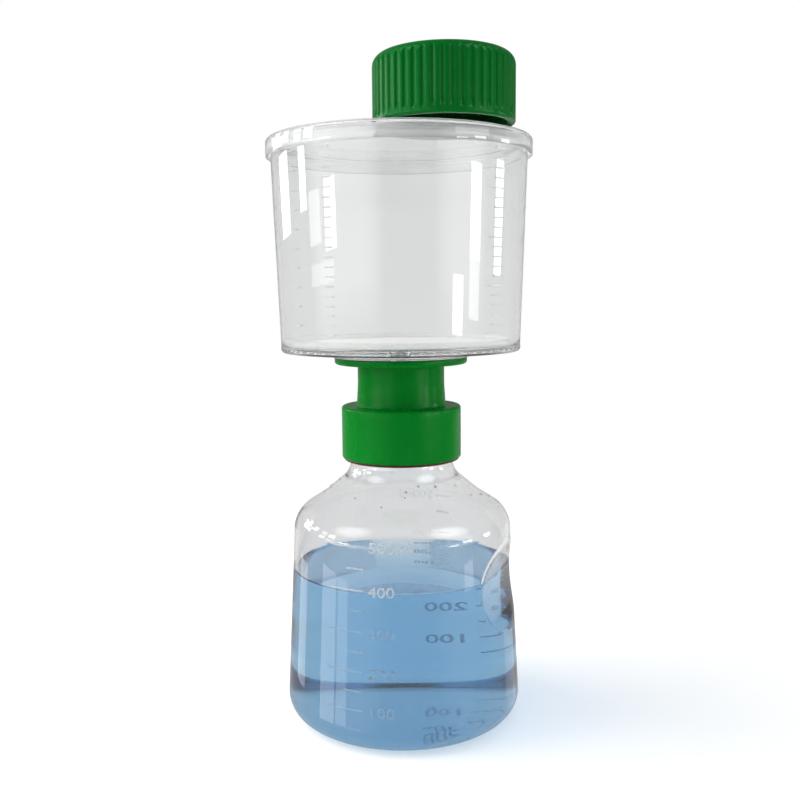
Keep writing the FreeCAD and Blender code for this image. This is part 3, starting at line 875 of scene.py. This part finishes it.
DROP_COUNT = 24
DROP_BAND = (90.5, 100.5)
DROP_SIZES = (0.38, 0.60)
scatter = random.Random(1)
drops = bmesh.new()
lean = math.atan2(SHOULDER[2][1] - SHOULDER[0][1], SHOULDER[0][0] - SHOULDER[2][0])
for _ in range(DROP_COUNT):
    bearing = scatter.uniform(-180.0, 180.0)
    height = scatter.uniform(*DROP_BAND)
    size = scatter.uniform(*DROP_SIZES)
    drop = bmesh.new()
    bmesh.ops.create_icosphere(drop, subdivisions=2, radius=size * MM)
    bmesh.ops.scale(drop, verts=drop.verts, vec=(1.0, 0.55, 1.15))
    tip = Matrix.Rotation(lean - math.pi / 2, 3, "X")
    bmesh.ops.rotate(drop, verts=drop.verts, cent=(0, 0, 0), matrix=tip)
    out = shoulder_radius(height) + 0.1
    bmesh.ops.translate(drop, verts=drop.verts, vec=(0.0, -out * MM, height * MM))
    spin = Matrix.Rotation(math.radians(bearing), 3, "Z")
    bmesh.ops.rotate(drop, verts=drop.verts, cent=(0, 0, 0), matrix=spin)
    joined(drops, drop)
piece(drops, "shoulder_drops", "receiver", bottle_clear)

# %% [markdown]
# ## Green mouldings
#
# The adapter and the cap are injection moulded in a green that is coloured right through.
# Their skin is even but not dead: it has a fine grain from the mould, faint streaks where
# the melt flowed, and scuffs that catch the light a little more on the cap's ribs.


# %% A finish for moulded green plastic
def green_finish(name, main, deep, gloss, streak, shine):
    recipe = recipe_for(name)
    flow = recipe.noise(30.0, 3.0, 0.55, (1.0, 1.0, streak))
    share = recipe.spread(flow, 0.35, 0.70, 0.0, 1.0)
    mixed = recipe.blend(share, tone(*main), tone(*deep))
    scuffs = recipe.noise(210.0, 5.0, 0.65, (1.0, 1.0, 0.4))
    worn = recipe.spread(scuffs, 0.56, 0.74, 0.0, 1.0)
    pale = tone(*(part * 1.10 + 0.006 for part in main))
    skin = recipe.blend(worn * 0.25, mixed, pale)
    rough = recipe.spread(scuffs, 0.40, 0.75, gloss, gloss + 0.14)
    grain = recipe.noise(2600.0, 2.0)
    ripple = recipe.noise(120.0, 2.0)
    relief = recipe.bump(grain, 0.10, 0.03 * MM)
    relief = recipe.bump(ripple, 0.12, 0.4 * MM, relief)
    body = recipe.node(
        "ShaderNodeBsdfPrincipled",
        None,
        {
            "Base Color": skin,
            "Roughness": rough,
            "IOR": 1.49,
            "Specular IOR Level": shine,
            "Normal": relief,
        },
    )
    return recipe.finish(body)


adapter_green = green_finish(
    "adapter_green", (0.001, 0.215, 0.018), (0.001, 0.180, 0.014), 0.20, 0.5, 0.08
)
cap_green = green_finish("cap_green", (0.001, 0.138, 0.017), (0.001, 0.118, 0.014), 0.15, 0.3, 0.10)

# %% [markdown]
# ## The adapter
#
# The adapter is one green moulding: a threaded collar, a narrower stalk, a disc that carries
# the funnel, and a short hose port at the back. Its body is turned from one section. The
# edges get real roundings, because a thin line of light runs along each of them. The port is
# turned as well, then laid back, and starts inside the stalk's wall.

# %% Spin the adapter and its hose port
adapter_low, adapter_high = (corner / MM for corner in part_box("adapter"))
connector_low, connector_high = (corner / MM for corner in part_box("hose_connector"))
COLLAR_RADIUS = 24.5
COLLAR_BORE = 22.8
COLLAR_TOP = adapter_low.z + 21.3
COLLAR_ROOF = 3.4
STALK_BORE = 16.0
STALK_RADIUS = 17.75
STALK_FOOT_RADIUS = 18.3
PORT_START = 16.6
PORT_RADIUS = 5.2
PORT_BORE = 3.6
PORT_DEPTH = 11.0
PORT_TURN = 64
DISC_FOOT = adapter_high.z - 2.7
adapter = turned(
    [
        (COLLAR_BORE, adapter_low.z, 0.3, 2),
        (COLLAR_RADIUS, adapter_low.z, 0.7, 4),
        (COLLAR_RADIUS, COLLAR_TOP, 1.1, 6),
        (STALK_FOOT_RADIUS, COLLAR_TOP, 0.6, 4),
        (STALK_RADIUS, COLLAR_TOP + 9.0, 30.0, 4),
        (STALK_RADIUS, DISC_FOOT, 0.7, 4),
        (adapter_high.x, DISC_FOOT, 1.2, 6),
        (adapter_high.x, adapter_high.z, 0.4, 3),
        (STALK_BORE, adapter_high.z, 0.3, 2),
        (STALK_BORE, COLLAR_TOP - COLLAR_ROOF),
        (COLLAR_BORE, COLLAR_TOP - COLLAR_ROOF, 0.5, 3),
    ]
)
port_level = (connector_low.z + connector_high.z) / 2
port_end = adapter_high.y
port = turned(
    [
        (0.0, PORT_START),
        (PORT_RADIUS, PORT_START),
        (PORT_RADIUS, port_end, 0.5, 4),
        (PORT_BORE, port_end, 0.3, 3),
        (PORT_BORE, port_end - PORT_DEPTH),
        (0.0, port_end - PORT_DEPTH),
    ],
    PORT_TURN,
)
laid_back = Matrix.Rotation(-math.pi / 2, 3, "X")
bmesh.ops.rotate(port, verts=port.verts, cent=(0, 0, 0), matrix=laid_back)
bmesh.ops.translate(port, verts=port.verts, vec=(0.0, 0.0, port_level * MM))
joined(adapter, port)
piece(adapter, "adapter_body", "filter_unit", adapter_green, ["adapter"])

# %% [markdown]
# ## The screw cap
#
# The cap's grip is a ring of soft waves that run out into its rounded top and stop above a
# plain band at the mouth. It is spun as a smooth cap first. Then each point of the side is
# held back to a wavy limit, which is how the scoop of the bottle was pressed as well.

# %% Spin the cap and press its grip
cap_low, cap_high = (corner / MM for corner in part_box("screw_cap"))
cap_middle = (cap_low + cap_high) / 2
CAP_RADIUS = (cap_high.x - cap_low.x) / 2
CAP_BORE = CAP_RADIUS - 3.0
CAP_ROOF = 2.0
GRIP_WAVES = 48
WAVE_DEPTH = 0.65
WAVE_LIFT = 0.35
WAVE_SOFTNESS = 0.20
WAVE_RUN = 0.5
PLAIN_BAND = 2.2
PLUG_RING = 18.4
PLUG_RING_WALL = 1.1
PLUG_RING_DEPTH = 3.5


def waved(place):
    """Where a point of the cap's side lies once the grip is pressed in."""
    radius = math.hypot(place.x, place.y) / MM
    rise = place.z / MM - cap_low.z - PLAIN_BAND
    if radius < CAP_BORE + 0.6 or rise < 0.0:
        return place
    wave = 0.5 - 0.5 * math.cos(GRIP_WAVES * math.atan2(place.y, place.x))
    depth = WAVE_DEPTH * min(rise / WAVE_RUN, 1.0)
    limit = CAP_RADIUS + WAVE_LIFT - (depth + WAVE_LIFT) * wave
    share = soft_limit(radius, limit, WAVE_SOFTNESS) / radius
    return Vector((place.x * share, place.y * share, place.z))


cap = turned(
    [
        (0.0, cap_high.z),
        (CAP_RADIUS, cap_high.z, 4.3, 12),
        (CAP_RADIUS, cap_low.z + PLAIN_BAND + WAVE_RUN),
        (CAP_RADIUS, cap_low.z + PLAIN_BAND),
        (CAP_RADIUS, cap_low.z, 0.9, 4),
        (CAP_BORE, cap_low.z, 0.6, 3),
        (CAP_BORE, cap_high.z - CAP_ROOF, 1.0, 3),
        (PLUG_RING, cap_high.z - CAP_ROOF, 0.2, 2),
        (PLUG_RING, cap_high.z - CAP_ROOF - PLUG_RING_DEPTH, 0.3, 3),
        (PLUG_RING - PLUG_RING_WALL, cap_high.z - CAP_ROOF - PLUG_RING_DEPTH, 0.3, 3),
        (PLUG_RING - PLUG_RING_WALL, cap_high.z - CAP_ROOF, 0.2, 2),
        (0.0, cap_high.z - CAP_ROOF),
    ],
    GRIP_WAVES * 12,
    2.6,
)
for vert in cap.verts:
    vert.co = waved(vert.co)
cap_place = Vector((cap_middle.x, cap_middle.y, 0.0)) * MM
bmesh.ops.translate(cap, verts=cap.verts, vec=cap_place)
piece(cap, "grip_cap", "lid", cap_green, ["screw_cap"], sharp=50.0)

# %% Threads inside the collar and the cap
COLLAR_CREST = 21.35
COLLAR_THREAD_FOOT = 111.3
CAP_THREAD_ROOT = 22.9
CAP_CREST = 21.4
INNER_RIDGE = (1.0, 0.45)
collar_thread = thread(COLLAR_BORE, COLLAR_CREST, COLLAR_THREAD_FOOT, 2.2, math.pi, *INNER_RIDGE)
piece(collar_thread, "collar_thread", "filter_unit", adapter_green, sharp=50.0)
cap_thread = thread(CAP_THREAD_ROOT, CAP_CREST, cap_low.z + 3.2, 2.2, 0.6, *INNER_RIDGE)
bmesh.ops.translate(cap_thread, verts=cap_thread.verts, vec=cap_place)
piece(cap_thread, "cap_thread", "lid", cap_green, sharp=50.0)

# %% [markdown]
# ## Small soft parts
#
# Seals are silicone: dull, slightly dusty and soft at the surface. The membrane is a white
# sheet with a fine felt of fibres, and the plug in the hose port is pressed fibre. These,
# the milky hose connector and the clear hold-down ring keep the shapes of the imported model
# and only take a finish. The collar's mouth seal gets a shape of its own in the next step.


# %% Finishes for seals, membrane and hose connector
def dull_finish(name, main, dust, rough, grain_scale, grain_depth, sheen=0.0):
    recipe = recipe_for(name)
    cloud = recipe.noise(180.0, 4.0, 0.6)
    share = recipe.spread(cloud, 0.38, 0.72, 0.0, 1.0)
    skin = recipe.blend(share, tone(*main), tone(*dust))
    grain = recipe.noise(grain_scale, 3.0, 0.6)
    relief = recipe.bump(grain, 0.5, grain_depth * MM)
    body = recipe.node(
        "ShaderNodeBsdfPrincipled",
        None,
        {
            "Base Color": skin,
            "Roughness": recipe.spread(cloud, 0.3, 0.8, rough, min(rough + 0.12, 1.0)),
            "Sheen Weight": sheen,
            "Normal": relief,
        },
    )
    return recipe.finish(body)


red_rubber = dull_finish("red_rubber", (0.10, 0.008, 0.006), (0.13, 0.012, 0.010), 0.5, 1500, 0.04)
white_rubber = dull_finish("white_rubber", (0.70, 0.70, 0.68), (0.76, 0.76, 0.74), 0.5, 1500, 0.04)
paper = dull_finish("membrane_paper", (0.93, 0.93, 0.92), (0.88, 0.88, 0.87), 0.85, 3200, 0.05, 0.3)
fibre = dull_finish("pressed_fibre", (0.76, 0.76, 0.73), (0.66, 0.66, 0.63), 0.9, 1800, 0.12, 0.4)
milky = dull_finish("milky_plastic", (0.72, 0.73, 0.71), (0.78, 0.79, 0.77), 0.32, 900, 0.02)
for name, finish in {
    "neck_gasket": white_rubber,
    "spigot_seal": white_rubber,
    "membrane": paper,
    "air_filter_plug": fibre,
    "hose_connector": milky,
    "hold_down_ring": plate_clear,
}.items():
    nodes[name].material_slots[0].material = finish
    print(name, "takes", finish.name)

# %% [markdown]
# ## The collar's mouth seal
#
# A soft red ring sits in the mouth of the collar, and its rounded lip shows a little below
# the green. It is turned like the rest, with large roundings, because rubber has no corners.
# Its bore is just wider than the thread's crest, so that it passes the thread as it unscrews.

# %% Spin the mouth seal
seal_low, seal_high = (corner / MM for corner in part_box("collar_mouth_seal"))
SEAL_BORE = NECK_ROOT + THREAD_RISE + 0.1
LIP_FOOT, LIP_EDGE = 23.3, 24.2
seal = turned(
    [
        (SEAL_BORE, seal_high.z, 0.1, 2),
        (SEAL_BORE, seal_low.z - 0.3, 0.3, 4),
        (LIP_FOOT, seal_low.z - 0.6, 0.4, 5),
        (LIP_EDGE, seal_low.z + 0.38, 0.3, 3),
        (seal_high.x, seal_low.z + 0.42, 0.1, 2),
        (seal_high.x, seal_high.z, 0.1, 2),
    ]
)
piece(seal, "mouth_seal", "seals", red_rubber, ["collar_mouth_seal"])

# %% [markdown]
# ## The funnel
#
# The funnel is a clear tapered cup that is welded to its drain plate. Two clear solids that
# only touch would mirror at the joint, so both are one section here, as they are one body
# after welding. It goes up from the drip spout over the plug, the boss and the plate's rim
# to the mouth, and back down inside. Ribs on the plate hold the membrane off it, and a row
# of short tabs round the rim marks the weld.

# %% Spin the funnel with its plate
funnel_low, funnel_high = (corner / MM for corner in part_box("funnel"))
spout_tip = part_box("drain_plate")[0].z / MM
seal_middle = (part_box("spigot_seal")[0].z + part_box("spigot_seal")[1].z) / 2 / MM
FUNNEL_FOOT, FUNNEL_TOP = funnel_low.z, funnel_high.z
FUNNEL_RADIUS = 48.5
FUNNEL_MOUTH = funnel_high.x
FUNNEL_WALL = 1.6
FUNNEL_BORE = FUNNEL_RADIUS - FUNNEL_WALL
PLATE_FOOT = FUNNEL_FOOT - 3.0
PLATE_FLOOR = FUNNEL_FOOT - 0.6
PLUG_FOOT = adapter_high.z - 6.0
PLUG_RADIUS = 15.9
SPOUT_BORE = 2.75
SPOUT_RADIUS = 4.5
BOSS_RADIUS = 27.8
GROOVE_RADIUS = 14.5
GROOVE_HALF = 0.75
WELD_TABS = 72
TAB_SPAN = 3.1
TAB_MIDDLE = PLATE_FOOT + 1.5
TAB_HEIGHT = 0.8
TAB_RISE = 0.12


def funnel_wall_at(height):
    share = (height - FUNNEL_FOOT) / (FUNNEL_TOP - FUNNEL_FOOT)
    return FUNNEL_RADIUS + (FUNNEL_MOUTH - FUNNEL_RADIUS) * share


cup = turned(
    [
        (SPOUT_BORE, spout_tip, 0.3, 2),
        (SPOUT_RADIUS, spout_tip, 0.4, 3),
        (SPOUT_RADIUS, PLUG_FOOT, 0.8, 4),
        (PLUG_RADIUS, PLUG_FOOT, 0.5, 3),
        (PLUG_RADIUS, seal_middle - GROOVE_HALF),
        (GROOVE_RADIUS, seal_middle - GROOVE_HALF),
        (GROOVE_RADIUS, seal_middle + GROOVE_HALF),
        (PLUG_RADIUS, seal_middle + GROOVE_HALF),
        (PLUG_RADIUS, adapter_high.z),
        (BOSS_RADIUS, adapter_high.z, 0.4, 3),
        (BOSS_RADIUS, PLATE_FOOT, 2.0, 5),
        (FUNNEL_RADIUS - 0.1, PLATE_FOOT, 1.0, 5),
        (FUNNEL_RADIUS, FUNNEL_FOOT),
        (FUNNEL_MOUTH, FUNNEL_TOP, 0.4, 3),
        (FUNNEL_MOUTH - FUNNEL_WALL, FUNNEL_TOP, 0.4, 3),
        (FUNNEL_BORE, PLATE_FLOOR, 0.5, 3),
        (SPOUT_BORE, PLATE_FLOOR, 0.5, 3),
    ],
    BOTTLE_TURN,
)
piece(
    cup, "funnel_cup", "filter_unit", funnel_clear, ["funnel", "drain_plate"]
)

# %% The plate's ribs and the weld tabs
RIB_START, RIB_END = 8.0, 44.6
RIB_COUNT = 24
RIB_SUNK = 0.2
RIB_WIDTH = 0.9
RIB_ROUNDING = 0.2
ribs = bmesh.new()
for i in range(RIB_COUNT):
    rib = bmesh.new()
    bmesh.ops.create_cube(rib, size=1.0)
    tall = FUNNEL_FOOT - PLATE_FLOOR + RIB_SUNK
    bmesh.ops.scale(rib, verts=rib.verts, vec=((RIB_END - RIB_START) * MM, RIB_WIDTH * MM, tall * MM))
    top = [e for e in rib.edges if all(v.co.z > 0 for v in e.verts)]
    bmesh.ops.bevel(
        rib,
        geom=top,
        offset=RIB_ROUNDING * MM,
        affect="EDGES",
        segments=2,
        profile=0.5,
        material=-1,
    )
    middle = ((RIB_START + RIB_END) / 2 * MM, 0.0, (FUNNEL_FOOT - tall / 2) * MM)
    bmesh.ops.translate(rib, verts=rib.verts, vec=middle)
    step = Matrix.Rotation(2 * math.pi * i / RIB_COUNT, 3, "Z")
    bmesh.ops.rotate(rib, verts=rib.verts, cent=(0, 0, 0), matrix=step)
    joined(ribs, rib)
piece(ribs, "plate_ribs", "filter_unit", plate_clear, sharp=30.0)

tabs = bmesh.new()
for i in range(WELD_TABS):
    at = 360.0 * i / WELD_TABS
    where = (TAB_MIDDLE, lambda z: FUNNEL_RADIUS, FUNNEL_RADIUS, TAB_HEIGHT, TAB_RISE)
    joined(tabs, line_mark(at, at + TAB_SPAN, *where))
piece(tabs, "weld_tabs", "filter_unit", mark_clear, sharp=30.0)

# %% The funnel's scales
FUNNEL_REACH = 50.0
FINE_STEP = 3.55
FINE_LINES = 20
FINE_FOOT = FUNNEL_FOOT + 5.0
scale = bmesh.new()
for i in range(FINE_LINES):
    where = (FINE_FOOT + i * FINE_STEP, funnel_wall_at, FUNNEL_REACH, 0.5, 0.25)
    joined(scale, line_mark(41.0 if i % 5 == 0 else 43.5, 50.5, *where))
    joined(scale, line_mark(-33.5, -29.5, *where))
    if i % 2:
        joined(scale, line_mark(-54.0, -49.0, *where))
piece(scale, "funnel_marks", "filter_unit", mark_clear, sharp=30.0)

# %% [markdown]
# ## The lid
#
# The lid is a shallow clear tray turned over: a flat top, a skirt outside the funnel and a
# locating ring inside it. Its top edge is well rounded, and it shows as bright bands.

# %% Spin the lid
lid_low, lid_high = (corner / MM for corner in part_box("funnel_lid"))
LID_EDGE = lid_high.x
LID_UNDER = lid_high.z - 1.6
RING_BORE, RING_EDGE, RING_FOOT = 47.9, 49.1, 231.8
SKIRT_BORE = 51.8
lid = turned(
    [
        (0.0, LID_UNDER),
        (RING_BORE, LID_UNDER, 0.3, 2),
        (RING_BORE, RING_FOOT, 0.3, 2),
        (RING_EDGE, RING_FOOT, 0.3, 2),
        (RING_EDGE, LID_UNDER, 0.3, 2),
        (SKIRT_BORE, LID_UNDER, 0.4, 3),
        (SKIRT_BORE, lid_low.z, 0.3, 2),
        (LID_EDGE, lid_low.z, 0.2, 2),
        (LID_EDGE, lid_high.z, 1.5, 6),
        (0.0, lid_high.z),
    ],
    BOTTLE_TURN,
)
piece(lid, "lid_tray", "lid", lid_clear, ["funnel_lid"])
